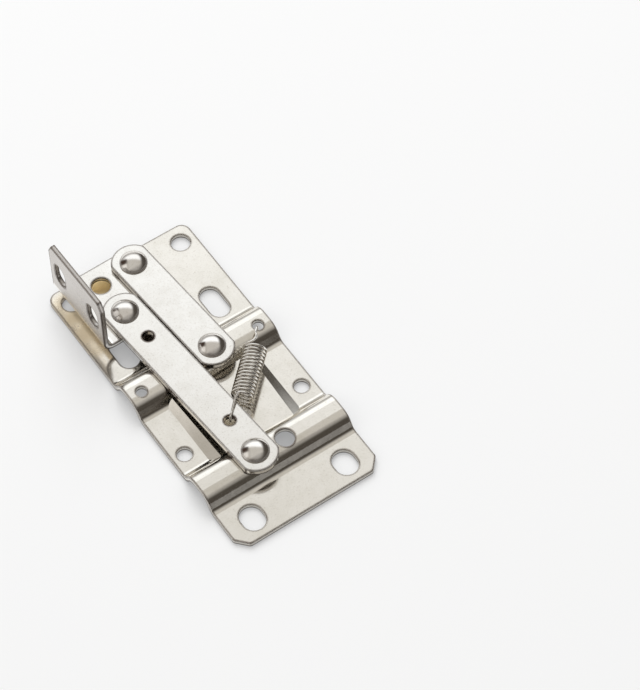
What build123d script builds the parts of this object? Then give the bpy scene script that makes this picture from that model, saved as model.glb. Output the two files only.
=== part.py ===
from build123d import *

import math
import os

# Tip-out tray hinge, closed. Millimetres, +Z up. The origin is the middle of the base plate on its
# mounting face. X runs along the plate from the bracket end (far) to the other end (near), Y across.

# Sheet and fits
LEVEL_TOLERANCE = 0.01  # of a unit normal, for a face that counts as upright
SHEET = 1.5  # base plate and door bracket
ARM_SHEET = 2.0  # both arms
EDGE_R = 0.3  # rolled edges of the stamped sheets, on the side that shows
BRACKET_EDGE_R = 0.3  # the same on the door bracket, on both sides of its upright
CREST_R = 3.1  # inside radius of the folds along a rib's crest
FOOT_R = 2.05  # and along its feet
PIVOT_FIT = 0.05  # radial clearance of a rivet in its holes

# Base plate outline
PLATE_LENGTH = 100.0
PLATE_WIDTH = 47.0
FAR_CORNER_R = 3.0
NEAR_CORNER_ALONG = 3.6
NEAR_CORNER_ACROSS = 3.3
NEAR_CORNER_R = 1.2

# Cross ribs, measured on the upper face between the sharp folds
RIB_RISE = 4.2
RIB_TOP = 8.0
RIB_RUN = 3.0
RIB_1_X = -6.5
RIB_2_X = 29.2

# Raised panel from rib to rib, with its top a little wider at the far end
PANEL_RISE = 1.2
PANEL_WIDTH = 30.1
PANEL_RUN_FAR = 2.2  # of its sides, from foot to top
PANEL_RUN_NEAR = 3.1
PANEL_BITE = 1.0  # how far it runs into the feet of the ribs

# Holes in the base plate
CORNER_HOLE_R = 2.8
CORNER_HOLE_END = 5.7  # from the far end
CORNER_HOLE_SIDE = 5.0  # from the plate's long edge
LARGE_SLOT_WIDTH = 6.0
LARGE_SLOT_LENGTH = 11.0
LARGE_SLOT_X = -21.4
LARGE_SLOT_SIDE = 8.3
ANCHOR_HOLE_R = 1.6
ANCHOR_HOLE_FROM_RIB = 1.0
ANCHOR_HOLE_SIDE = 4.04
MID_HOLE_R = 2.2
MID_HOLE_X = 16.1
MID_HOLE_SIDE = 4.0
END_SLOT_WIDTH = 6.7
END_SLOT_LENGTH = 8.2
END_SLOT_END = 6.6  # from the near end
END_SLOT_SIDE = 8.2

# Arms
ARM_WIDTH = 11.7
ARM_GAP = 0.27  # between the two arms when closed
ARM_END_R = 6.5
ARM_SOFT_R = 1.5
ARM_ANGLE = 4.54  # degrees that the arms lean off the X axis
LONG_REACH = 59.04  # between its two pivots
REACH_DIFFERENCE = 22.68  # the short arm reaches less far by this
SHORT_PIVOT_FROM_RIB = 0.6
SHORT_PIVOT_Y = 4.35
LONG_PIVOT_FROM_RIB = 0.3
LONG_SMALL_HOLE_R = 1.75
LONG_SMALL_HOLE_FROM_TIP = 10.77
SPRING_HOLE_R = 1.7
SPRING_HOLE_FROM_PIVOT = 12.05
SPRING_HOLE_OFF_AXIS = 0.6

# Door bracket
BRACKET_TURN = 1.1  # degrees that it stands off the X axis when closed
BRACKET_BEND_R = 1.7
BRACKET_SKINS = 6  # broad faces: two flats, two uprights, two bends
UPRIGHT_FACE = 10.97  # from the long arm's tip pivot to the upright's outer face
UPRIGHT_HEIGHT = 22.1  # above the underside of the bracket
UPRIGHT_FAR = 7.98  # past the short arm's tip pivot
UPRIGHT_NEAR = 6.2  # past the long arm's tip pivot
UPRIGHT_CORNER_ALONG = 1.5
UPRIGHT_CORNER_DOWN = 2.9
FLAT_FAR = 6.58  # past the short arm's tip pivot
FLAT_SIDE = 5.0  # past the short arm's tip pivot
FLAT_FAR_CORNER_R = 5.0
FLAT_NEAR_CORNER_R = 9.0
DOOR_SLOT_WIDTH = 5.2
DOOR_SLOT_HEIGHT = 8.6
DOOR_SLOT_SPACING = 16.5
DOOR_SLOT_LIFT = 12.0  # slot centres above the underside of the bracket

# The short arm's tip rivet runs in a short clearance slot, hidden under the arm
TIP_SLOT_R = 3.5
TIP_SLOT_TRAVEL = 1.64
TIP_SLOT_ALONG = -0.18
TIP_SLOT_ACROSS = -1.49

# Rivets
SHANK_R = 2.7
HEAD_R = 4.0
HEAD_RIM = 0.35
HEAD_HEIGHT = 2.0
TAIL_R = 4.2
TAIL_HEIGHT = 1.2
TAIL_RIM = 0.5
RIB_TAIL_R = 3.5
RIB_TAIL_CLEARANCE = 0.15
RIB_TAIL_RIM = 0.5

# Tension spring
WIRE = 0.7
COIL_R = 3.05  # to the middle of the wire
COIL_PITCH = 1.14
COIL_TURNS = 14.75
COIL_START = 8.45  # from the anchor hole, along the line to the long arm's hole
COIL_SIDE = 1.45  # coil axis off that line
COIL_HEIGHT = 2.55  # coil axis above the rib tops' underside
HOOK_CLEARANCE = 0.2  # between the wire and the sheet that it goes round
HOOK_INSET = 0.3  # from the edge of its hole to the middle of the hook's bend
HOOK_TURN = 165.0  # degrees
RIB_LEG_BEFORE = 2.35  # point of the leg from the rib's hook, before the coil's start
RIB_LEG_SIDE = 0.7
RIB_LEG_LIFT = 2.2  # over the rib's top
RIB_LEG_WAY = (0.93, -0.25, 0.25)
ARM_LEG_AFTER = 2.7  # point of the leg to the arm's hook, past the coil's end
ARM_LEG_LIFT = 1.2  # over the arm's top
ARM_LEG_WAY = (0.97, 0, -0.24)
LEAST_WIRE_GAP = 0.4
GAP_STEP = 0.25  # between the points that the gap is measured on

os.makedirs("parts", exist_ok=True)

# Levels: the arms lie on the rib tops, and the bracket's flat lies under the arms
ARM_Z = SHEET + RIB_RISE
ARM_TOP_Z = ARM_Z + ARM_SHEET
BRACKET_Z = ARM_Z - SHEET
PIVOT_HOLE_R = SHANK_R + PIVOT_FIT

# A fold on the middle of the sheet lies this far inside the fold on its upper face
SLOPE = math.atan2(RIB_RISE, RIB_RUN)
FOLD_SHIFT = SHEET / 2 * math.tan(SLOPE / 2)

# Pivots of the closed hinge
LEAN = math.radians(ARM_ANGLE)
ALONG_ARM = Vector(math.cos(LEAN), math.sin(LEAN), 0)
ACROSS_ARM = Vector(-math.sin(LEAN), math.cos(LEAN), 0)
SHORT_BASE = Vector(RIB_1_X + SHORT_PIVOT_FROM_RIB, SHORT_PIVOT_Y, 0)
LONG_BASE_X = RIB_2_X + LONG_PIVOT_FROM_RIB
LONG_BASE_Y = (
    SHORT_BASE.Y + (LONG_BASE_X - SHORT_BASE.X) * math.tan(LEAN) - (ARM_WIDTH + ARM_GAP) / math.cos(LEAN)
)
LONG_BASE = Vector(LONG_BASE_X, LONG_BASE_Y, 0)
SHORT_REACH = LONG_REACH - REACH_DIFFERENCE
SHORT_TIP = SHORT_BASE - ALONG_ARM * SHORT_REACH
LONG_TIP = LONG_BASE - ALONG_ARM * LONG_REACH

# The two holes that the spring hooks into
ANCHOR_HOLE = Vector(RIB_1_X + ANCHOR_HOLE_FROM_RIB, PLATE_WIDTH / 2 - ANCHOR_HOLE_SIDE, 0)
SPRING_HOLE = LONG_BASE - ALONG_ARM * SPRING_HOLE_FROM_PIVOT + ACROSS_ARM * SPRING_HOLE_OFF_AXIS


def rib_folds(centre):
    """The four folds of one rib on the middle of the sheet."""
    foot = RIB_TOP / 2 + RIB_RUN - FOLD_SHIFT
    top = RIB_TOP / 2 - FOLD_SHIFT
    low = SHEET / 2
    high = low + RIB_RISE
    return [(centre - foot, low), (centre - top, high), (centre + top, high), (centre + foot, low)]


def upper_rims(plate):
    """Edges of a plate's upper surface, round its outline and its holes."""
    walls = plate.faces().filter_by(lambda face: is_upright(face.normal_at()))
    uppers = plate.faces().filter_by(lambda face: not is_upright(face.normal_at()) and face.normal_at().Z > 0)
    return walls.edges() & uppers.edges()


def is_upright(normal):
    """Whether a face with this normal stands upright."""
    return math.isclose(normal.Z, 0, abs_tol=LEVEL_TOLERANCE)


# Base plate: one bent sheet, trimmed to its outline
with BuildPart() as base_plate:
    with BuildSketch(Plane.XZ) as bent_sheet:
        with BuildLine():
            FilletPolyline(
                (-PLATE_LENGTH / 2, SHEET / 2),
                *rib_folds(RIB_1_X),
                *rib_folds(RIB_2_X),
                (PLATE_LENGTH / 2, SHEET / 2),
                radius=[fold_r + SHEET / 2 for fold_r in (FOOT_R, CREST_R, CREST_R, FOOT_R)] * 2,
            )
        trace(line_width=SHEET)
    extrude(amount=PLATE_WIDTH / 2, both=True)

    with BuildSketch() as outline:
        with BuildLine():
            FilletPolyline(
                (-PLATE_LENGTH / 2, -PLATE_WIDTH / 2),
                (PLATE_LENGTH / 2 - NEAR_CORNER_ALONG, -PLATE_WIDTH / 2),
                (PLATE_LENGTH / 2, -PLATE_WIDTH / 2 + NEAR_CORNER_ACROSS),
                (PLATE_LENGTH / 2, PLATE_WIDTH / 2 - NEAR_CORNER_ACROSS),
                (PLATE_LENGTH / 2 - NEAR_CORNER_ALONG, PLATE_WIDTH / 2),
                (-PLATE_LENGTH / 2, PLATE_WIDTH / 2),
                radius=[FAR_CORNER_R, *[NEAR_CORNER_R] * 4, FAR_CORNER_R],
                close=True,
            )
        make_face()
    extrude(amount=ARM_Z, mode=Mode.INTERSECT)

    # The raised panel stands up from the sheet, with a matching recess below it
    panel_start = RIB_1_X + RIB_TOP / 2 + RIB_RUN - PANEL_BITE
    panel_end = RIB_2_X - RIB_TOP / 2 - RIB_RUN + PANEL_BITE
    for level, panel_mode in ((SHEET, Mode.ADD), (0, Mode.SUBTRACT)):
        for rise, run_far, run_near in ((0, 0, 0), (PANEL_RISE, PANEL_RUN_FAR, PANEL_RUN_NEAR)):
            with BuildSketch(Plane.XY.offset(level + rise)):
                with BuildLine():
                    Polyline(
                        (panel_start, run_far - PANEL_WIDTH / 2),
                        (panel_end, run_near - PANEL_WIDTH / 2),
                        (panel_end, PANEL_WIDTH / 2 - run_near),
                        (panel_start, PANEL_WIDTH / 2 - run_far),
                        close=True,
                    )
                make_face()
        loft(mode=panel_mode)

    with BuildSketch() as base_holes:
        with Locations((CORNER_HOLE_END - PLATE_LENGTH / 2, 0)):
            with GridLocations(0, PLATE_WIDTH - 2 * CORNER_HOLE_SIDE, 1, 2):
                Circle(CORNER_HOLE_R)
        with Locations((LARGE_SLOT_X, 0)):
            with GridLocations(0, PLATE_WIDTH - 2 * LARGE_SLOT_SIDE, 1, 2):
                SlotOverall(LARGE_SLOT_LENGTH, LARGE_SLOT_WIDTH)
        with Locations((ANCHOR_HOLE.X, 0)):
            with GridLocations(0, PLATE_WIDTH - 2 * ANCHOR_HOLE_SIDE, 1, 2):
                Circle(ANCHOR_HOLE_R)
        with Locations((MID_HOLE_X, 0)):
            with GridLocations(0, PLATE_WIDTH - 2 * MID_HOLE_SIDE, 1, 2):
                Circle(MID_HOLE_R)
        with Locations((PLATE_LENGTH / 2 - END_SLOT_END, 0)):
            with GridLocations(0, PLATE_WIDTH - 2 * END_SLOT_SIDE, 1, 2):
                SlotOverall(END_SLOT_LENGTH, END_SLOT_WIDTH)
        # Pivot holes, and the unused ones that let the same plate serve the mirrored hinge
        with Locations((SHORT_BASE.X, 0)):
            with GridLocations(0, 2 * SHORT_BASE.Y, 1, 2):
                Circle(PIVOT_HOLE_R)
        with Locations((LONG_BASE.X, 0)):
            with GridLocations(0, 2 * LONG_BASE.Y, 1, 2):
                Circle(PIVOT_HOLE_R)
    extrude(amount=ARM_Z, mode=Mode.SUBTRACT)
    fillet(upper_rims(base_plate), EDGE_R)
base_plate.part.label = "base_plate"
export_step(base_plate.part, "parts/base_plate.step")


def arm_blank(reach):
    """Plan of an arm about the middle of its two pivots, with its pivot holes."""
    with BuildSketch(mode=Mode.PRIVATE) as blank:
        SlotCenterToCenter(reach, 2 * ARM_END_R)
        Rectangle(reach + 2 * ARM_END_R, ARM_WIDTH, mode=Mode.INTERSECT)
        fillet(blank.vertices(), ARM_SOFT_R)
        with GridLocations(reach, 0, 2, 1):
            Circle(PIVOT_HOLE_R, mode=Mode.SUBTRACT)
    return blank.sketch


def arm_plane(base, tip):
    """Plane on the rib tops with its origin midway between an arm's pivots."""
    middle = (base + tip) * 0.5
    return Plane(origin=(middle.X, middle.Y, ARM_Z), x_dir=ALONG_ARM, z_dir=(0, 0, 1))


def upper_outline(arm):
    """Edges round the outside of an arm's upper face."""
    return arm.faces().sort_by(Axis.Z)[-1].outer_wire().edges()


# Short arm
short_blank = arm_blank(SHORT_REACH)
with BuildPart() as short_arm:
    with BuildSketch(arm_plane(SHORT_BASE, SHORT_TIP)):
        add(short_blank)
    extrude(amount=ARM_SHEET)
    fillet(upper_outline(short_arm), EDGE_R)
short_arm.part.label = "short_arm"
export_step(short_arm.part, "parts/short_arm.step")

# Long arm: the same blank at its own length, with two more holes
long_blank = arm_blank(LONG_REACH)
with BuildPart() as long_arm:
    with BuildSketch(arm_plane(LONG_BASE, LONG_TIP)):
        add(long_blank)
        with Locations((LONG_SMALL_HOLE_FROM_TIP - LONG_REACH / 2, 0)):
            Circle(LONG_SMALL_HOLE_R, mode=Mode.SUBTRACT)
        with Locations((LONG_REACH / 2 - SPRING_HOLE_FROM_PIVOT, SPRING_HOLE_OFF_AXIS)):
            Circle(SPRING_HOLE_R, mode=Mode.SUBTRACT)
    extrude(amount=ARM_SHEET)
    fillet(upper_outline(long_arm), EDGE_R)
long_arm.part.label = "long_arm"
export_step(long_arm.part, "parts/long_arm.step")

# Door bracket, in its own frame: origin under the long arm's tip pivot, x along the upright
TURN = math.radians(BRACKET_TURN)
ALONG_BRACKET = Vector(math.cos(TURN), math.sin(TURN), 0)
ACROSS_BRACKET = Vector(-math.sin(TURN), math.cos(TURN), 0)
BRACKET_PLAN = Plane(origin=(LONG_TIP.X, LONG_TIP.Y, BRACKET_Z), x_dir=ALONG_BRACKET, z_dir=(0, 0, 1))
short_tip_in_bracket = BRACKET_PLAN.to_local_coords(Vector(SHORT_TIP.X, SHORT_TIP.Y, BRACKET_Z))
upright_start = short_tip_in_bracket.X - UPRIGHT_FAR
upright_end = UPRIGHT_NEAR
upright_middle = (upright_start + upright_end) / 2
upright_length = upright_end - upright_start
flat_start = short_tip_in_bracket.X - FLAT_FAR
flat_side = short_tip_in_bracket.Y + FLAT_SIDE

with BuildPart() as door_bracket:
    section_plane = Plane(
        origin=BRACKET_PLAN.from_local_coords((upright_start, 0, 0)),
        x_dir=ACROSS_BRACKET,
        z_dir=ALONG_BRACKET,
    )
    with BuildSketch(section_plane) as angle_section:
        with BuildLine():
            FilletPolyline(
                (-UPRIGHT_FACE + SHEET / 2, UPRIGHT_HEIGHT),
                (-UPRIGHT_FACE + SHEET / 2, SHEET / 2),
                (flat_side, SHEET / 2),
                radius=BRACKET_BEND_R + SHEET / 2,
            )
        trace(line_width=SHEET)
    extrude(amount=upright_length)

    # Plan: the upright runs past the flat at the far end, and the flat's hidden corners are rounded
    with BuildSketch(BRACKET_PLAN) as bracket_plan:
        with BuildLine():
            FilletPolyline(
                (upright_start, -UPRIGHT_FACE),
                (upright_end, -UPRIGHT_FACE),
                (upright_end, flat_side),
                (flat_start, flat_side),
                (flat_start, -UPRIGHT_FACE + SHEET + BRACKET_BEND_R),
                (upright_start, -UPRIGHT_FACE + SHEET + BRACKET_BEND_R),
                radius=[0, 0, FLAT_NEAR_CORNER_R, FLAT_FAR_CORNER_R, 0, 0],
                close=True,
            )
        make_face()
    extrude(amount=UPRIGHT_HEIGHT, mode=Mode.INTERSECT)

    # Elevation: cut upper corners and the two slots for the front's screws
    elevation_plane = Plane(origin=BRACKET_PLAN.origin, x_dir=ALONG_BRACKET, z_dir=-ACROSS_BRACKET)
    with BuildSketch(elevation_plane) as bracket_elevation:
        with BuildLine():
            Polyline(
                (upright_start, 0),
                (upright_end, 0),
                (upright_end, UPRIGHT_HEIGHT - UPRIGHT_CORNER_DOWN),
                (upright_end - UPRIGHT_CORNER_ALONG, UPRIGHT_HEIGHT),
                (upright_start + UPRIGHT_CORNER_ALONG, UPRIGHT_HEIGHT),
                (upright_start, UPRIGHT_HEIGHT - UPRIGHT_CORNER_DOWN),
                close=True,
            )
        make_face()
        with Locations((upright_middle, DOOR_SLOT_LIFT)):
            with GridLocations(DOOR_SLOT_SPACING, 0, 2, 1):
                SlotOverall(DOOR_SLOT_HEIGHT, DOOR_SLOT_WIDTH, rotation=90, mode=Mode.SUBTRACT)
    extrude(amount=UPRIGHT_FACE + flat_side, both=True, mode=Mode.INTERSECT)

    # Pivot holes, their unused twins, and the clearance slot of the short arm's tip rivet
    with BuildSketch(BRACKET_PLAN) as bracket_holes:
        with Locations((0, 0), (short_tip_in_bracket.X, 0), (0, short_tip_in_bracket.Y)):
            Circle(PIVOT_HOLE_R)
        with Locations(
            (short_tip_in_bracket.X + TIP_SLOT_ALONG, short_tip_in_bracket.Y + TIP_SLOT_ACROSS)
        ):
            SlotCenterToCenter(TIP_SLOT_TRAVEL, 2 * TIP_SLOT_R, rotation=90)
    extrude(amount=SHEET, mode=Mode.SUBTRACT)

    # Rolled edges round the flat's top and the upright. The outer face's near edge stays sharp
    by_area = door_bracket.faces().sort_by(SortBy.AREA)
    edge_faces, skins = by_area[:-BRACKET_SKINS], by_area[-BRACKET_SKINS:]
    shown = skins.filter_by(GeomType.PLANE).filter_by(lambda face: face.normal_at().Z > -LEVEL_TOLERANCE)
    outer_rims = shown.sort_by(Axis.Y)[0].edges() & edge_faces.edges()
    fillet((shown.edges() & edge_faces.edges()) - outer_rims.sort_by(Axis.X)[-1:], BRACKET_EDGE_R)
door_bracket.part.label = "door_bracket"
export_step(door_bracket.part, "parts/door_bracket.step")


def dome_radius(half_width, height):
    """Radius of the ball whose cap has this half width and height."""
    return (half_width**2 + height**2) / (2 * height)


def rivet(name, pivot, tail_outline):
    """Domed rivet on a pivot: head on the arm's top, shank down to the tail's outline."""
    head_z = ARM_TOP_Z
    rim = (HEAD_R, head_z + HEAD_RIM)
    crown = (0, head_z + HEAD_HEIGHT)
    with BuildPart() as body:
        with BuildSketch(Plane(origin=(pivot.X, pivot.Y, 0), x_dir=(1, 0, 0), z_dir=(0, -1, 0))):
            with BuildLine():
                Polyline(*tail_outline, (SHANK_R, head_z), (HEAD_R, head_z), rim)
                RadiusArc(rim, crown, -dome_radius(HEAD_R, HEAD_HEIGHT - HEAD_RIM))
                Line(crown, tail_outline[0])
            make_face()
        revolve(axis=Axis((pivot.X, pivot.Y, 0), (0, 0, 1)))
    body.part.label = name
    export_step(body.part, f"parts/{name}.step")
    return body.part


# Under a rib the tail is formed against the rib's round crest and sloping walls
slope_rise = math.tan(SLOPE)
inner_half_flat = RIB_TOP / 2 - 2 * FOLD_SHIFT - CREST_R * math.tan(SLOPE / 2)
pivot_off_centre = max(abs(SHORT_PIVOT_FROM_RIB), abs(LONG_PIVOT_FROM_RIB))
shank_past_flat = max(SHANK_R + pivot_off_centre - inner_half_flat, 0)
crest_drop = CREST_R - math.sqrt(CREST_R**2 - shank_past_flat**2)
flare_top_z = BRACKET_Z - crest_drop - RIB_TAIL_CLEARANCE
flare_low_z = flare_top_z - (RIB_TAIL_R - SHANK_R) * slope_rise
rib_tail = [
    (0, flare_low_z - RIB_TAIL_RIM),
    (RIB_TAIL_R, flare_low_z - RIB_TAIL_RIM),
    (RIB_TAIL_R, flare_low_z),
    (SHANK_R, flare_top_z),
]
rivet("rivet_short_arm_base", SHORT_BASE, rib_tail)
rivet("rivet_long_arm_base", LONG_BASE, rib_tail)

# Under the bracket the tail is a flat peened head
bracket_tail = [
    (0, BRACKET_Z - TAIL_HEIGHT),
    (TAIL_R - TAIL_RIM, BRACKET_Z - TAIL_HEIGHT),
    (TAIL_R, BRACKET_Z - TAIL_HEIGHT + TAIL_RIM),
    (TAIL_R, BRACKET_Z),
    (SHANK_R, BRACKET_Z),
]
rivet("rivet_short_arm_bracket", SHORT_TIP, bracket_tail)
rivet("rivet_long_arm_bracket", LONG_TIP, bracket_tail)

# Tension spring, in its own frame: x from the anchor hole to the long arm's hole, y sideways, z up
SPRING_LINE = SPRING_HOLE - ANCHOR_HOLE
SPRING_PLANE = Plane(origin=ANCHOR_HOLE, x_dir=SPRING_LINE, z_dir=(0, 0, 1))
coil_axis_z = BRACKET_Z + COIL_HEIGHT
rib_hook_r = (SHEET + WIRE) / 2 + HOOK_CLEARANCE
rib_hook_z = ARM_Z - SHEET / 2
rib_hook_along = ANCHOR_HOLE_R + HOOK_INSET
arm_hook_r = (ARM_SHEET + WIRE) / 2 + HOOK_CLEARANCE
arm_hook_z = ARM_Z + ARM_SHEET / 2
arm_hook_along = SPRING_LINE.length - SPRING_HOLE_R - HOOK_INSET


def at(along, side, up):
    """A point of the spring's frame in the part's frame."""
    return SPRING_PLANE.from_local_coords(Vector(along, side, up))


def towards(along, side, up):
    """A direction of the spring's frame in the part's frame."""
    return (at(along, side, up) - at(0, 0, 0)).normalized()


def coil(turn):
    """Point and direction of the coil after a number of turns, which starts at its left side."""
    angle = math.pi + 2 * math.pi * turn
    point = at(
        COIL_START + COIL_PITCH * turn,
        COIL_SIDE + COIL_R * math.cos(angle),
        coil_axis_z + COIL_R * math.sin(angle),
    )
    heading = towards(COIL_PITCH / (2 * math.pi), -COIL_R * math.sin(angle), COIL_R * math.cos(angle))
    return point, heading


def hook(centre_along, centre_z, radius, side):
    """End and top of a hook that turns back under the sheet on the far (-1) or near (+1) side."""
    turn = math.radians(HOOK_TURN)
    low = (
        centre_along + side * radius * math.sin(turn),
        centre_z + radius * math.cos(turn),
    )
    heading = (side * math.cos(turn), -math.sin(turn))
    end = (low[0] + WIRE * heading[0], low[1] + WIRE * heading[1])
    return (
        (at(end[0], 0, end[1]), side * towards(heading[0], 0, heading[1])),
        (at(low[0], 0, low[1]), side * towards(heading[0], 0, heading[1])),
        (at(centre_along, 0, centre_z + radius), towards(1, 0, 0)),
    )


rib_end, rib_low, rib_top = hook(rib_hook_along, rib_hook_z, rib_hook_r, -1)
arm_end, arm_low, arm_top = hook(arm_hook_along, arm_hook_z, arm_hook_r, 1)
coil_turns = [0.5 * half for half in range(int(2 * COIL_TURNS) + 1)] + [COIL_TURNS]
coil_end = COIL_START + COIL_PITCH * COIL_TURNS
rib_leg = (at(COIL_START - RIB_LEG_BEFORE, RIB_LEG_SIDE, ARM_Z + RIB_LEG_LIFT), towards(*RIB_LEG_WAY))
arm_leg = (at(coil_end + ARM_LEG_AFTER, 0, ARM_TOP_Z + ARM_LEG_LIFT), towards(*ARM_LEG_WAY))
stations = [rib_low, rib_top, rib_leg, *[coil(turn) for turn in coil_turns], arm_leg, arm_top, arm_low]


def biarc(start, end):
    """Two arcs that leave the start and reach the end along their own directions."""
    (start_point, start_way), (end_point, end_way) = start, end
    gap = end_point - start_point
    lean = gap.dot(start_way + end_way)
    spread = 2 * (1 - start_way.dot(end_way))
    reach = gap.dot(gap) / (lean + math.sqrt(lean**2 + spread * gap.dot(gap)))
    first = start_point + start_way * reach
    last = end_point - end_way * reach
    middle = (first + last) * 0.5
    TangentArc(start_point, middle, tangent=start_way)
    TangentArc(middle, end_point, tangent=last - first)


with BuildPart() as tension_spring:
    with BuildLine() as wire_path:
        Line(rib_end[0], rib_low[0])
        for start, end in zip(stations, stations[1:]):
            biarc(start, end)
        Line(arm_low[0], arm_end[0])
    with BuildSketch(Plane(origin=rib_end[0], z_dir=rib_low[0] - rib_end[0])):
        Circle(WIRE / 2)
    sweep()
tension_spring.part.label = "tension_spring"
export_step(tension_spring.part, "parts/tension_spring.step")


def least_gap(path, wire, step):
    """Least clear gap between stretches of the wire that are more than half a turn apart."""
    count = int(path.length / step)
    points = [path @ (i / count) for i in range(count + 1)]
    apart = int(math.pi * COIL_R / step)
    return min(
        (points[i] - points[j]).length - wire
        for i in range(len(points))
        for j in range(i + apart, len(points))
    )


wire_gap = least_gap(wire_path.wires()[0], WIRE, GAP_STEP)
print("spring wire: least gap to itself", round(wire_gap, 3), "mm, wanted over", LEAST_WIRE_GAP)
print("spring length hole to hole", round(SPRING_LINE.length, 2), "mm")
for name, pivot in (
    ("short arm base", SHORT_BASE),
    ("long arm base", LONG_BASE),
    ("short arm tip", SHORT_TIP),
    ("long arm tip", LONG_TIP),
    ("anchor hole", ANCHOR_HOLE),
    ("spring hole", SPRING_HOLE),
):
    print(name, round(pivot.X, 3), round(pivot.Y, 3))
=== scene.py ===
"""Tip-out tray hinge in bright nickel plate, on a pale studio floor."""

import math

import bmesh
import bpy
from mathutils import Matrix, Vector


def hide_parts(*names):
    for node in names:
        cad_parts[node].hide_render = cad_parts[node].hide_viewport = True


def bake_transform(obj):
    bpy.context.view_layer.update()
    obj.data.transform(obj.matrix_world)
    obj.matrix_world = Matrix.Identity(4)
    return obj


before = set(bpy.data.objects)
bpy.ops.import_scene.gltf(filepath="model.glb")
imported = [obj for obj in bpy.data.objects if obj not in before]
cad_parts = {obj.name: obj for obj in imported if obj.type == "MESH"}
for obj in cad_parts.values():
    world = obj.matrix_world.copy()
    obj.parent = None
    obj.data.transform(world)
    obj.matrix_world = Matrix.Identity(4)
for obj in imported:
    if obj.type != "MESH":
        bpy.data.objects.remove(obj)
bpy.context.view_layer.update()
MM = 0.001

# Camera: its place in the hinge's own frame, its lens, and what it clips, in metres
CAMERA_AT = Vector((365.6, -212.3, 660.4)) * MM
CAMERA_AIM = Vector((7.36, 31.8, 0.27)) * MM
CAMERA_ROLL = -0.007
PICTURE_WIDTH = 640
FOCAL_PIXELS = 2797.7
SENSOR_WIDTH = 36.0
LENS = FOCAL_PIXELS / PICTURE_WIDTH * SENSOR_WIDTH
SHIFT_Y = 0.00094
CLIP_NEAR, CLIP_FAR = 0.01, 20.0

# What the spring hooks into, in millimetres, as in the solids
SHEET = 1.5
ARM_SHEET = 2.0
ARM_Z = 5.7  # underside of the arms, and top of the ribs
ANCHOR_HOLE = Vector((-5.5, 19.46, 0))
ANCHOR_HOLE_R = 1.6
SPRING_HOLE = Vector((17.44, -5.202, 0))
SPRING_HOLE_R = 1.7

# Spring, in millimetres. Along is from the anchor hole towards the arm's hole
WIRE = 0.7
COIL_R = 3.05
COIL_PITCH = 1.14
COIL_TURNS = 14.75
COIL_START = 8.45
COIL_SIDE = 1.45
COIL_Z = 6.75
HOOK_TURN = 165.0  # degrees
HOOK_CLEARANCE = 0.2
HOOK_INSET = 0.3
RISE_BEFORE_COIL = 2.35  # where the wire climbs from the rib to the coil
RISE_SIDE = 0.7
RISE_HEIGHT = 2.2
RISE_WAY = (0.93, -0.25, 0.25)
FALL_AFTER_COIL = 2.7  # where it drops from the coil to the arm
FALL_HEIGHT = 1.2
FALL_WAY = (0.97, 0, -0.24)
STRAIGHT_ENOUGH = 1e-6  # an arc that strays less from its way is a line
COIL_STEPS = 36
HOOK_STEPS = 18
TAIL_STEPS = 3
TUBE_SIDES = 14
TUBE_DOME = [(0.45, 0.89), (0.78, 0.62), (0.95, 0.31)]  # rings past its end, and their sizes, in radii

# Marks on the plate: middle and reach in millimetres, colour, share
SPOT_FULL, SPOT_GONE = 0.6, 1.1  # in reaches
GREASE = (Vector((-44.8, -8.1, 1.5)), 4.5, (1.0, 0.77, 0.38), 0.9)
# The golden spots beside the bracket are painted reflection: the warm light that the nickel upright
# throws onto the plate.
GOLDEN_SPOTS_Y = -20.5
GOLDEN_SPOTS_XS = (-43.0, -36.0, -30.0)
GOLDEN_REFLECTION_SPOTS = [(Vector((x, GOLDEN_SPOTS_Y, 1.5)), 6.5, (1.0, 0.83, 0.55), 0.46) for x in GOLDEN_SPOTS_XS]

# Layers of the nickel plate: noise cells per metre, shares of the colour, added roughness, hidden metal
# and relief
CLOUD_SCALE, PATCH_SCALE, GRAIN_SCALE, SPECK_SCALE = 95.0, 330.0, 900.0, 2400.0
CLOUD_SHARE, PATCH_SHARE, SPECK_SHARE = 0.55, 0.45, 0.42
UPRIGHT_SHARE, FOLD_SHADE_SHARE = 0.9, 0.8
TONE_DULLS, SPECKS_DULL, GRAIN_DULLS = 0.07, 0.10, 0.06
UPRIGHT_DULLS, MARK_DULLS, EDGE_DULLS = 0.10, 0.25, 0.15
EDGE_HIDES_METAL, MARK_HIDES_METAL = 0.75, 0.6
PATCH_RELIEF, GRAIN_RELIEF, SPECK_RELIEF = 0.5, 0.25, 0.25
LEAST_ROUGHNESS = 0.05

# How far the dark edges and the painted shade in folds, round rivets and between coil turns are looked
# for, and over what height the upright's painted shade comes in, in millimetres
EDGE_REACH, FOLD_REACH, RING_REACH = 0.85, 1.4, 1.8
COIL_SHELTER = 1.6
UPRIGHT_FADE = 0.8

# Layers of the spring wire, in the same units
HAZE_SCALE, FINE_SCALE = 700.0, 4200.0
SHELTER_SHARE = 0.94
WIRE_ROUGHNESS, HAZE_DULLS, FINE_DULLS = 0.06, 0.06, 0.04

# Colours that the plate and the wire take on
SPECK_GREY = (0.60, 0.54, 0.46)
UPRIGHT_SHADE_GREY = (0.57, 0.535, 0.50)
EDGE_WEAR_AND_REFLECTION_BROWN = (0.10, 0.075, 0.06)
FOLD_SHADE_BROWN = (0.22, 0.18, 0.15)
WIRE_BRIGHT = (1.0, 0.975, 0.93)
WIRE_HAZE = (0.90, 0.86, 0.79)
WIRE_SHADE = (0.13, 0.10, 0.075)

# Floor and lamp, in metres
FLOOR_HALF_WIDTH = 6.0
FLOOR_DROP = 0.02 * MM
PALE = 0.939
FLOOR_PAINT = (0.90, 0.91, 0.92, 1.0)
FLOOR_SHADE = (0.45, 0.46, 0.475, 1.0)
SHADOW_REACH = 12 * MM
SHADOW_SHARE = 0.45
LAMP_AT = (-1.2, 0.45, 1.35)
LAMP_SIZE = 1.4
LAMP_POWER = 32.5


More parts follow.
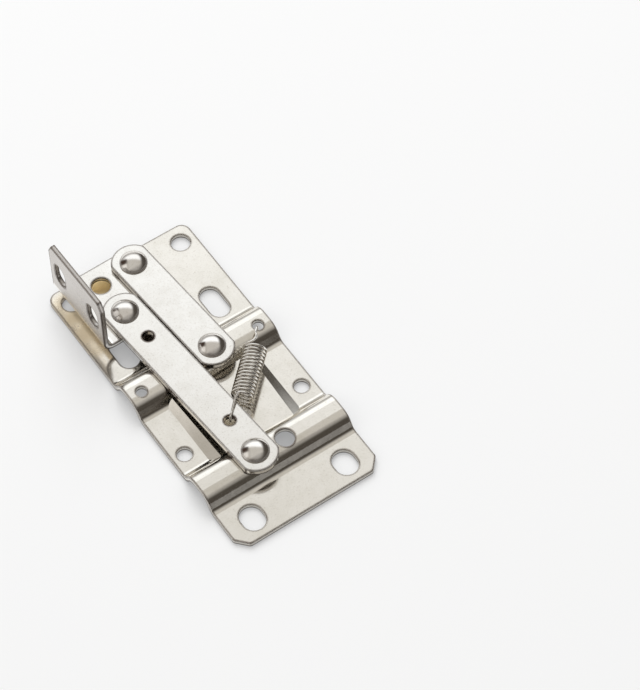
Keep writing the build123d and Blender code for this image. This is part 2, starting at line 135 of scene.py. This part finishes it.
class Signal:
    """A shader socket that arithmetic can be written on."""

    def __init__(self, shader, socket):
        self.shader = shader
        self.socket = socket

    def maths(self, operation, *others):
        node = self.shader.node("ShaderNodeMath", {"operation": operation}, [self, *others])
        return Signal(self.shader, node.outputs[0])

    def __add__(self, other):
        return self.maths("ADD", other)

    def __radd__(self, other):
        return self.maths("ADD", other)

    def __sub__(self, other):
        return self.maths("SUBTRACT", other)

    def __rsub__(self, other):
        return (self * -1) + other

    def __mul__(self, other):
        return self.maths("MULTIPLY", other)

    def __rmul__(self, other):
        return self.maths("MULTIPLY", other)

    def clamp(self, low=0.0, high=1.0):
        return self.maths("MAXIMUM", low).maths("MINIMUM", high)

    def between(self, low, high):
        """0 below low, 1 above high, smooth between."""
        settings = {"interpolation_type": "SMOOTHSTEP"}
        values = {"Value": self, "From Min": low, "From Max": high}
        return self.shader.signal("ShaderNodeMapRange", settings, values, output="Result")


class Shader:
    """A node tree that is being written."""

    def __init__(self, tree):
        self.tree = tree
        tree.nodes.clear()

    def node(self, kind, settings=None, values=()):
        """Adds a node: its settings first, then the values or links of its sockets."""
        made = self.tree.nodes.new(kind)
        for name, value in (settings or {}).items():
            setattr(made, name, value)
        for key, value in values.items() if isinstance(values, dict) else enumerate(values):
            if isinstance(value, Signal):
                self.tree.links.new(value.socket, made.inputs[key])
            else:
                made.inputs[key].default_value = value
        return made

    def signal(self, kind, settings=None, values=(), output=0):
        return Signal(self, self.node(kind, settings, values).outputs[output])

    def noise(self, place, scale, detail, roughness):
        values = {"Vector": place, "Scale": scale, "Detail": detail, "Roughness": roughness}
        return self.signal("ShaderNodeTexNoise", {}, values)

    def openness(self, reach, samples=8, **settings):
        """1 where nothing stands within reach, in metres, and less in the shelter of other surfaces."""
        settings["samples"] = samples
        return self.signal("ShaderNodeAmbientOcclusion", settings, {"Distance": reach}, output="AO")

    def mix(self, factor, first, second):
        node = self.node("ShaderNodeMix", {"data_type": "RGBA"})
        colour_sockets = [s for s in node.inputs if s.type == "RGBA"]
        for socket, value in zip([node.inputs[0], *colour_sockets], (factor, first, second)):
            if isinstance(value, Signal):
                self.tree.links.new(value.socket, socket)
            elif isinstance(value, tuple):
                socket.default_value = (*value, 1.0)
            else:
                socket.default_value = value
        return Signal(self, next(s for s in node.outputs if s.type == "RGBA"))


def material(name):
    made = bpy.data.materials.new(name)
    made.use_nodes = True
    return made, Shader(made.node_tree)


def metal_surface(shader, tint, metal, dull, relief, strength, depth):
    """Ends a metal's tree: colour, metal and roughness, with the relief's height as bump."""
    values = {"Strength": strength, "Distance": depth, "Height": relief}
    bump = shader.signal("ShaderNodeBump", {}, values)
    values = {"Base Color": tint, "Metallic": metal, "Roughness": dull, "Normal": bump}
    surface = shader.signal("ShaderNodeBsdfPrincipled", {}, values)
    shader.node("ShaderNodeOutputMaterial", {}, {"Surface": surface})


def edge_wear_and_dark_reflection(shader, reach=EDGE_REACH):
    """1 on the rolled edges of the sheet, 0 on its faces: the dark line there is partly wear, partly
    painted reflection of the dark room.
    """
    depth = shader.openness(reach * MM, samples=10, inside=True, only_local=True)
    return (1 - depth).between(0.09, 0.30)


def painted_fold_shade(shader, reach=FOLD_REACH, own_folds=True):
    """Painted shade: 1 deep in the folds, or beside what a piece sits on, and 0 on open faces."""
    return (1 - shader.openness(reach * MM, only_local=own_folds)).between(0.22, 0.62)


def spot(shader, place, centre, reach):
    """1 at a point of the part, in millimetres, and 0 beyond its reach."""
    settings = {"operation": "DISTANCE"}
    offset = shader.signal("ShaderNodeVectorMath", settings, [place, centre * MM], output="Value")
    return 1 - offset.between(SPOT_FULL * reach * MM, SPOT_GONE * reach * MM)


def nickel(name, bright, cloudy, roughness, edge_line=1.0, dull_and_shaded_above=None, stains_and_reflections=(), ring_shaded=False):
    """Bright nickel plate on rolled sheet: warm cloudy mottling, grain, specks, dark edges that are
    partly wear and partly painted reflection, and painted shade in the folds.
    """
    made, shader = material(name)
    place = shader.signal("ShaderNodeTexCoord", output="Object")
    clouds = shader.noise(place, CLOUD_SCALE, detail=4.0, roughness=0.6)
    patches = shader.noise(place, PATCH_SCALE, detail=3.0, roughness=0.5)
    grain = shader.noise(place, GRAIN_SCALE, detail=2.0, roughness=0.5)
    specks = shader.noise(place, SPECK_SCALE, detail=2.0, roughness=0.65)
    cloudiness = clouds.between(0.36, 0.66) * CLOUD_SHARE
    tone = (cloudiness + patches.between(0.38, 0.7) * PATCH_SHARE).clamp()
    tint = shader.mix(tone, bright, cloudy)
    tint = shader.mix(specks.between(0.56, 0.74) * SPECK_SHARE, tint, SPECK_GREY)
    dull = roughness + (tone - 0.5) * TONE_DULLS
    dull = dull + (specks - 0.5) * SPECKS_DULL + (grain - 0.5) * GRAIN_DULLS
    # Above a height the upright turns rougher and greyer: the grey is painted shade, for the shaded
    # floor that its face mirrors.
    if dull_and_shaded_above is not None:
        height = shader.signal("ShaderNodeSeparateXYZ", {}, [place], output="Z")
        upright = height.between(dull_and_shaded_above * MM, (dull_and_shaded_above + UPRIGHT_FADE) * MM)
        tint = shader.mix(upright * UPRIGHT_SHARE, tint, UPRIGHT_SHADE_GREY)
        dull = dull + upright * UPRIGHT_DULLS
    edge = edge_wear_and_dark_reflection(shader)
    metal = 1 - edge * (EDGE_HIDES_METAL * edge_line)
    # Marks: the grease is a real stain, the golden spots are painted reflection.
    for centre, reach, mark_tint, share in stains_and_reflections:
        marked = spot(shader, place, centre, reach) * share
        tint = shader.mix(marked, tint, mark_tint)
        dull = dull + marked * MARK_DULLS
        metal = metal - marked * MARK_HIDES_METAL
    # Dark edge line: partly wear, partly painted reflection of the dark room in the rolled edges.
    tint = shader.mix(edge * edge_line, tint, EDGE_WEAR_AND_REFLECTION_BROWN)
    # Painted shade deep in the folds, and round the rivets where they sit on the plates and arms.
    fold_shade = painted_fold_shade(shader, RING_REACH, own_folds=False) if ring_shaded else painted_fold_shade(shader)
    tint = shader.mix(fold_shade * FOLD_SHADE_SHARE, tint, FOLD_SHADE_BROWN)
    dull = (dull + edge * EDGE_DULLS).clamp(low=LEAST_ROUGHNESS)
    relief = patches * PATCH_RELIEF + grain * GRAIN_RELIEF + specks * SPECK_RELIEF
    metal_surface(shader, tint, metal, dull, relief, strength=0.12, depth=0.02 * MM)
    return made


def wire_steel(name):
    """Drawn spring wire, bright, with a fine haze, and painted shade between its turns."""
    made, shader = material(name)
    place = shader.signal("ShaderNodeTexCoord", output="Object")
    haze = shader.noise(place, HAZE_SCALE, detail=3.0, roughness=0.6)
    fine = shader.noise(place, FINE_SCALE, detail=2.0, roughness=0.6)
    tint = shader.mix(haze.between(0.35, 0.7), WIRE_BRIGHT, WIRE_HAZE)
    # Painted shade between the coil's turns.
    turn_shade = (1 - shader.openness(COIL_SHELTER * MM, only_local=True)).between(0.34, 0.60)
    tint = shader.mix(turn_shade * SHELTER_SHARE, tint, WIRE_SHADE)
    dull = (WIRE_ROUGHNESS + haze * HAZE_DULLS + fine * FINE_DULLS).clamp(low=LEAST_ROUGHNESS)
    metal_surface(shader, tint, 1.0, dull, fine, strength=0.06, depth=0.01 * MM)
    return made


SHEET_PLATE = nickel(
    "nickel_plate_base",
    bright=(0.925, 0.89, 0.825),
    cloudy=(0.85, 0.815, 0.74),
    roughness=0.15,
    stains_and_reflections=[GREASE, *GOLDEN_REFLECTION_SPOTS],
)
BRACKET_PLATE = nickel(
    "nickel_plate_bracket",
    bright=(1.0, 0.98, 0.94),
    cloudy=(0.94, 0.915, 0.865),
    roughness=0.16,
    dull_and_shaded_above=7.5,
)
ARM_PLATE = nickel(
    "nickel_plate_arms",
    bright=(0.985, 0.965, 0.925),
    cloudy=(0.915, 0.89, 0.84),
    roughness=0.15,
)
RIVET_PLATE = nickel(
    "nickel_plate_rivets",
    bright=(0.92, 0.89, 0.85),
    cloudy=(0.86, 0.82, 0.77),
    roughness=0.15,
    edge_line=0.3,
    ring_shaded=True,
)
SPRING_WIRE = wire_steel("spring_wire")

MATERIAL_OF = {
    "base_plate": SHEET_PLATE,
    "door_bracket": BRACKET_PLATE,
    "short_arm": ARM_PLATE,
    "long_arm": ARM_PLATE,
    "rivet_short_arm_base": RIVET_PLATE,
    "rivet_long_arm_base": RIVET_PLATE,
    "rivet_short_arm_bracket": RIVET_PLATE,
    "rivet_long_arm_bracket": RIVET_PLATE,
    "tension_spring": SPRING_WIRE,
}
for node_name, finish in MATERIAL_OF.items():
    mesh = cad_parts[node_name].data
    mesh.materials.clear()
    mesh.materials.append(finish)


# Tension spring: a smooth tube along the real wire's line
SPRING_LINE = SPRING_HOLE - ANCHOR_HOLE
ALONG = SPRING_LINE.normalized()
SIDE = Vector((0, 0, 1)).cross(ALONG)


def spring_point(along, side, up):
    return ANCHOR_HOLE + ALONG * along + SIDE * side + Vector((0, 0, up))


def spring_way(along, side, up):
    return (ALONG * along + SIDE * side + Vector((0, 0, up))).normalized()


def arc_points(start, way, end, steps):
    """Points of the arc that leaves start along way and reaches end, without its first point."""
    chord = end - start
    square = chord - way * chord.dot(way)
    if square.length < STRAIGHT_ENOUGH:
        return [start + chord * (i / steps) for i in range(1, steps + 1)]
    radius = chord.length_squared / (2 * square.length)
    inward = square.normalized()
    centre = start + inward * radius
    angle = 2 * math.atan2(square.length, chord.dot(way))
    return [
        centre + (way * math.sin(angle * i / steps) - inward * math.cos(angle * i / steps)) * radius
        for i in range(1, steps + 1)
    ]


def biarc_points(start, end, steps=8):
    """Two arcs that leave the start and reach the end along their own directions."""
    (start_point, start_way), (end_point, end_way) = start, end
    gap = end_point - start_point
    lean = gap.dot(start_way + end_way)
    spread = 2 * (1 - start_way.dot(end_way))
    reach = gap.dot(gap) / (lean + math.sqrt(lean**2 + spread * gap.dot(gap)))
    first = start_point + start_way * reach
    last = end_point - end_way * reach
    middle = (first + last) / 2
    first_arc = arc_points(start_point, start_way, middle, steps)
    return first_arc + arc_points(middle, (last - first).normalized(), end_point, steps)


def coil_station(turn):
    """A point of the coil's wire and its direction there, some turns after the coil's start."""
    angle = math.pi + 2 * math.pi * turn
    across, up = COIL_R * math.cos(angle), COIL_R * math.sin(angle)
    point = spring_point(COIL_START + COIL_PITCH * turn, COIL_SIDE + across, COIL_Z + up)
    return point, spring_way(COIL_PITCH / (2 * math.pi), -up, across)


def hook_points(centre_along, centre_z, radius, side):
    """Wire points of a hook from its free end up to its top, in the spring's upright plane."""
    points = []
    for i in range(HOOK_STEPS + 1):
        angle = math.radians(HOOK_TURN * (1 - i / HOOK_STEPS))
        along, up = side * radius * math.sin(angle), radius * math.cos(angle)
        points.append(spring_point(centre_along + along, 0, centre_z + up))
    angle = math.radians(HOOK_TURN)
    heading = spring_way(side * math.cos(angle), 0, -math.sin(angle))
    return [points[0] + heading * WIRE * (1 - i / TAIL_STEPS) for i in range(TAIL_STEPS)] + points


def tube(name, points, radius):
    """A closed round tube along points, with rounded ends, its rings carried along without twist."""
    ways = []
    for i in range(len(points)):
        ahead = points[min(i + 1, len(points) - 1)]
        behind = points[max(i - 1, 0)]
        ways.append((ahead - behind).normalized())
    across = ways[0].orthogonal().normalized()
    sections = []
    for point, way in zip(points, ways):
        across = (across - way * across.dot(way)).normalized()
        sections.append((point, way, across, radius))
    (first, first_way, first_across, _), (last, last_way, last_across, _) = sections[0], sections[-1]
    start_cap = [
        (first - first_way * radius * past, first_way, first_across, radius * size)
        for past, size in reversed(TUBE_DOME)
    ]
    end_cap = [
        (last + last_way * radius * past, last_way, last_across, radius * size)
        for past, size in TUBE_DOME
    ]
    mesh = bmesh.new()
    rings = []
    for point, way, start, size in [*start_cap, *sections, *end_cap]:
        up = way.cross(start)
        ring = []
        for k in range(TUBE_SIDES):
            angle = 2 * math.pi * k / TUBE_SIDES
            outward = start * math.cos(angle) + up * math.sin(angle)
            ring.append(mesh.verts.new((point + outward * size) * MM))
        rings.append(ring)
    for ring, following in zip(rings, rings[1:]):
        for k in range(TUBE_SIDES):
            m = (k + 1) % TUBE_SIDES
            mesh.faces.new((ring[k], ring[m], following[m], following[k]))
    mesh.faces.new(list(reversed(rings[0])))
    mesh.faces.new(rings[-1])
    for face in mesh.faces:
        face.smooth = True
    return placed_mesh(name, mesh)


def placed_mesh(name, mesh):
    """An object of the scene with the edited mesh, which is then let go."""
    data = bpy.data.meshes.new(name)
    mesh.to_mesh(data)
    mesh.free()
    made = bpy.data.objects.new(name, data)
    bpy.context.scene.collection.objects.link(made)
    return made


rib_hook = hook_points(
    ANCHOR_HOLE_R + HOOK_INSET, ARM_Z - SHEET / 2, (SHEET + WIRE) / 2 + HOOK_CLEARANCE, side=-1
)
ARM_HOOK_ALONG = SPRING_LINE.length - SPRING_HOLE_R - HOOK_INSET
arm_hook = hook_points(
    ARM_HOOK_ALONG, ARM_Z + ARM_SHEET / 2, (ARM_SHEET + WIRE) / 2 + HOOK_CLEARANCE, side=1
)
COIL_END = COIL_START + COIL_PITCH * COIL_TURNS
rise_point = spring_point(COIL_START - RISE_BEFORE_COIL, RISE_SIDE, ARM_Z + RISE_HEIGHT)
fall_point = spring_point(COIL_END + FALL_AFTER_COIL, 0.0, ARM_Z + ARM_SHEET + FALL_HEIGHT)
rib_rise = (rise_point, spring_way(*RISE_WAY))
arm_fall = (fall_point, spring_way(*FALL_WAY))
level_way = spring_way(1, 0, 0)
coil_line = [coil_station(i / COIL_STEPS)[0] for i in range(1, int(COIL_TURNS * COIL_STEPS) + 1)]
coil_part = [
    *rib_hook,
    *biarc_points((rib_hook[-1], level_way), rib_rise),
    *biarc_points(rib_rise, coil_station(0)),
    *coil_line,
    *biarc_points(coil_station(COIL_TURNS), arm_fall),
]
hook_part = [
    fall_point,
    *biarc_points(arm_fall, (arm_hook[-1], level_way)),
    *list(reversed(arm_hook))[1:],
]

# The coil and its hook leg as two tubes, with the stretches along the spring over which each would turn
# with the arm, worked out to give like shares where they meet
TURN_LENGTH = 87.0
HOOK_HELD_BEFORE = 0.3  # the hook leg's stretch ends this far before its hook
MEETING = (fall_point - ANCHOR_HOLE).dot(ALONG)
HOOK_END = ARM_HOOK_ALONG - HOOK_HELD_BEFORE
MEETING_SHARE = MEETING / TURN_LENGTH
HOOK_START = (MEETING - MEETING_SHARE * HOOK_END) / (1 - MEETING_SHARE)
for part_name, line, first, last in (
    ("spring_coil", coil_part, 0.0, TURN_LENGTH),
    ("spring_arm_hook", hook_part, HOOK_START, HOOK_END),
):
    piece = tube(part_name, line, WIRE / 2)
    piece.data.materials.append(SPRING_WIRE)
    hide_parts("tension_spring")
    turn_from, turn_to = spring_point(first, 0, 0) * MM, spring_point(last, 0, 0) * MM
    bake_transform(piece)


# Floor
floor_mesh = bmesh.new()
bmesh.ops.create_grid(floor_mesh, x_segments=1, y_segments=1, size=FLOOR_HALF_WIDTH)
floor = placed_mesh("floor", floor_mesh)
floor.location = (0, 0, -FLOOR_DROP)


def pale_floor(name):
    """A floor that takes soft shadows, and that the camera and the metal see almost white."""
    made, shader = material(name)
    rays = shader.node("ShaderNodeLightPath")
    plain = shader.signal("ShaderNodeBsdfDiffuse", {}, {"Color": FLOOR_PAINT})
    glow = shader.signal("ShaderNodeEmission", {}, {"Color": (PALE, PALE, PALE, 1.0), "Strength": 1.0})
    # A darker glow where other surfaces stand near: painted shadow under and round the hinge.
    shade = shader.signal("ShaderNodeEmission", {}, {"Color": FLOOR_SHADE, "Strength": 1.0})
    ambient = shader.signal("ShaderNodeMixShader", {}, [shader.openness(SHADOW_REACH), shade, glow])
    lifted = shader.signal("ShaderNodeMixShader", {}, [1 - SHADOW_SHARE, plain, ambient])
    seen = Signal(shader, rays.outputs["Is Camera Ray"])
    for kind in ("Is Glossy Ray", "Is Transmission Ray"):
        seen = seen.maths("MAXIMUM", Signal(shader, rays.outputs[kind]))
    shown = shader.signal("ShaderNodeMixShader", {}, [seen, plain, lifted])
    shader.node("ShaderNodeOutputMaterial", {}, {"Surface": shown})
    return made


floor.data.materials.append(pale_floor("studio_floor"))


# World: the studio that the bright metal mirrors. Directions are taken along the picture:
# across to its right, back to its top, up to the zenith
ACROSS = (0.563, 0.826, 0.0)
BACK = (-0.826, 0.563, 0.0)
UP = (0.0, 0.0, 1.0)
CEILING_LEAN = (-0.483, 0.793, 0.370)
RIGHT_EDGE_LEAN = (-0.755, 0.017, 0.656)
DARK_LEFT, DARK_RIGHT = (0.052, 0.034, 0.026), (0.070, 0.062, 0.053)
OVERHEAD_GREY = (0.42, 0.405, 0.385)
BOX_GREY, WINDOW_WHITE = (0.575, 0.555, 0.52), (1.18, 1.21, 1.24)
LEFT_SHADE, LOW_SHADE = (0.34, 0.31, 0.275), (0.20, 0.18, 0.16)
CARD_WHITE = (0.95, 0.93, 0.90)

world = bpy.data.worlds.new("studio")
bpy.context.scene.world = world
world.use_nodes = True
sky = Shader(world.node_tree)
direction = sky.signal("ShaderNodeTexCoord", output="Generated")


def toward(way):
    """How far a direction leans towards a way, from -1 to 1."""
    settings = {"operation": "DOT_PRODUCT"}
    return sky.signal("ShaderNodeVectorMath", settings, [direction, way], output="Value")


across, back, up = toward(ACROSS), toward(BACK), toward(UP)
left = across * -1.0


def leaning(lean):
    """The same for a way that is given by how far it goes across, back and up."""
    return across * lean[0] + back * lean[1] + up * lean[2]


# The dark room, a little lighter overhead
room = sky.mix(across.between(-0.2, 0.5), DARK_LEFT, DARK_RIGHT)
room = sky.mix(up.between(0.60, 0.90), room, OVERHEAD_GREY)

# The big light box with its window, greyer at its left and low at the back
window = back.between(0.38, 0.69)
left_shade = left.between(0.40, 0.66) * (1 - back.between(0.30, 0.55))
low_back = back.between(0.30, 0.60) * (1 - up.between(0.20, 0.48))
box = sky.mix(window, BOX_GREY, WINDOW_WHITE)
box = sky.mix(left_shade * 0.8, box, LEFT_SHADE)
box = sky.mix(low_back * 0.75, box, LOW_SHADE)

# Where the box ends, the flag that cuts into it, a white card at the left, and the far floor
ceiling = leaning(CEILING_LEAN).between(-0.10, 0.16)
right_edge = leaning(RIGHT_EDGE_LEAN).between(-0.11, 0.15)
left_flag = left.between(0.48, 0.62) * back.between(0.10, 0.26) * (1 - back.between(0.52, 0.68))
left_card = left.between(0.50, 0.72) * (1 - back.between(0.02, 0.20)) * back.between(-0.55, -0.20)
horizon = (1 - up.between(0.02, 0.15)) * (1 - back.between(-0.35, 0.30))
walls = sky.mix(ceiling * right_edge * (1 - left_flag), room, box)
walls = sky.mix(left_card * 0.8, walls, CARD_WHITE)
walls = sky.mix(horizon, walls, (PALE, PALE, PALE))
studio = sky.signal("ShaderNodeBackground", {}, {"Color": walls, "Strength": 1.0})
sky.node("ShaderNodeOutputWorld", {}, {"Surface": studio})


# Lamp over the back of the floor, for its shadows only: the metal doesn't mirror it
lamp = bpy.data.lights.new("back_softbox", "AREA")
lamp.shape = "RECTANGLE"
lamp.size = lamp.size_y = LAMP_SIZE
lamp.energy = LAMP_POWER
softbox = bpy.data.objects.new("back_softbox", lamp)
softbox.location = LAMP_AT
softbox.rotation_euler = (-Vector(LAMP_AT)).to_track_quat("-Z", "Y").to_euler()
softbox.visible_glossy = False
bpy.context.scene.collection.objects.link(softbox)


# Camera at the photograph's place
camera = bpy.data.cameras.new("camera")
camera.sensor_fit = "HORIZONTAL"
camera.sensor_width = SENSOR_WIDTH
camera.lens = LENS
camera.shift_y = SHIFT_Y
camera.clip_start = CLIP_NEAR
camera.clip_end = CLIP_FAR
viewer = bpy.data.objects.new("camera", camera)
bpy.context.scene.collection.objects.link(viewer)
ahead = (CAMERA_AIM - CAMERA_AT).normalized()
level_right = ahead.cross(Vector((0, 0, 1))).normalized()
level_top = level_right.cross(ahead)
right = level_right * math.cos(CAMERA_ROLL) + level_top * math.sin(CAMERA_ROLL)
top = level_top * math.cos(CAMERA_ROLL) - level_right * math.sin(CAMERA_ROLL)
viewer.matrix_world = Matrix(
    (
        (right.x, top.x, -ahead.x, CAMERA_AT.x),
        (right.y, top.y, -ahead.y, CAMERA_AT.y),
        (right.z, top.z, -ahead.z, CAMERA_AT.z),
        (0, 0, 0, 1),
    )
)
bpy.context.scene.camera = viewer
bpy.context.scene.view_settings.view_transform = "Standard"
